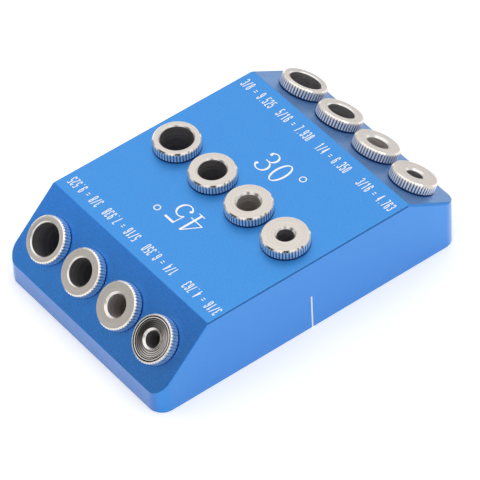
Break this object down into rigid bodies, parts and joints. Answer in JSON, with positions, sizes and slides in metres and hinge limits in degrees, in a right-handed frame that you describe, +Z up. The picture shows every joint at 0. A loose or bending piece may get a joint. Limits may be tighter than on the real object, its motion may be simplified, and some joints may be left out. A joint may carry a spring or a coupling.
{
  "type": "drill guide",
  "caption": "Angled drill guide: a blue anodised block with a sloped face at each end, holding rows of knurled steel bushes that guide a drill upright or at a set lean.",
  "frame": {"origin": "middle of the block's base", "axes": "+X along the block towards the 30 degree slope, +Y across it towards the largest bushes, +Z up from the base"},
  "size_m": [0.104, 0.07, 0.0278],
  "materials": {
    "anodised_blue": "bright blue anodised aluminium with a fine matt grain",
    "bright_steel": "bright steel, faces finely turned, chamfers polished, rims knurled",
    "white_marking": "thin white marking on the block"
  },
  "bodies": {
    "block": {"block": "anodised_blue"},
    "bush_45_3_8": {"bush_45_3_8": "bright_steel"},
    "bush_45_5_16": {"bush_45_5_16": "bright_steel"},
    "bush_45_1_4": {"bush_45_1_4": "bright_steel"},
    "bush_45_3_16": {"bush_45_3_16": "bright_steel"},
    "bush_90_3_8": {"bush_90_3_8": "bright_steel"},
    "bush_90_5_16": {"bush_90_5_16": "bright_steel"},
    "bush_90_1_4": {"bush_90_1_4": "bright_steel"},
    "bush_90_3_16": {"bush_90_3_16": "bright_steel"},
    "bush_30_3_8": {"bush_30_3_8": "bright_steel"},
    "bush_30_5_16": {"bush_30_5_16": "bright_steel"},
    "bush_30_1_4": {"bush_30_1_4": "bright_steel"},
    "bush_30_3_16": {"bush_30_3_16": "bright_steel"}
  },
  "joints": [
    {"name": "bush_45_3_8_lift", "type": "slide", "parent": "block", "child": "bush_45_3_8", "axis": [-0.7071, 0, 0.7071], "range_m": [0, 0.018]},
    {"name": "bush_45_5_16_lift", "type": "slide", "parent": "block", "child": "bush_45_5_16", "axis": [-0.7071, 0, 0.7071], "range_m": [0, 0.018]},
    {"name": "bush_45_1_4_lift", "type": "slide", "parent": "block", "child": "bush_45_1_4", "axis": [-0.7071, 0, 0.7071], "range_m": [0, 0.018]},
    {"name": "bush_45_3_16_lift", "type": "slide", "parent": "block", "child": "bush_45_3_16", "axis": [-0.7071, 0, 0.7071], "range_m": [0, 0.018]},
    {"name": "bush_90_3_8_lift", "type": "slide", "parent": "block", "child": "bush_90_3_8", "axis": [0, 0, 1], "range_m": [0, 0.018]},
    {"name": "bush_90_5_16_lift", "type": "slide", "parent": "block", "child": "bush_90_5_16", "axis": [0, 0, 1], "range_m": [0, 0.018]},
    {"name": "bush_90_1_4_lift", "type": "slide", "parent": "block", "child": "bush_90_1_4", "axis": [0, 0, 1], "range_m": [0, 0.018]},
    {"name": "bush_90_3_16_lift", "type": "slide", "parent": "block", "child": "bush_90_3_16", "axis": [0, 0, 1], "range_m": [0, 0.018]},
    {"name": "bush_30_3_8_lift", "type": "slide", "parent": "block", "child": "bush_30_3_8", "axis": [0.5, 0, 0.866], "range_m": [0, 0.018]},
    {"name": "bush_30_5_16_lift", "type": "slide", "parent": "block", "child": "bush_30_5_16", "axis": [0.5, 0, 0.866], "range_m": [0, 0.018]},
    {"name": "bush_30_1_4_lift", "type": "slide", "parent": "block", "child": "bush_30_1_4", "axis": [0.5, 0, 0.866], "range_m": [0, 0.018]},
    {"name": "bush_30_3_16_lift", "type": "slide", "parent": "block", "child": "bush_30_3_16", "axis": [0.5, 0, 0.866], "range_m": [0, 0.018]}
  ]
}
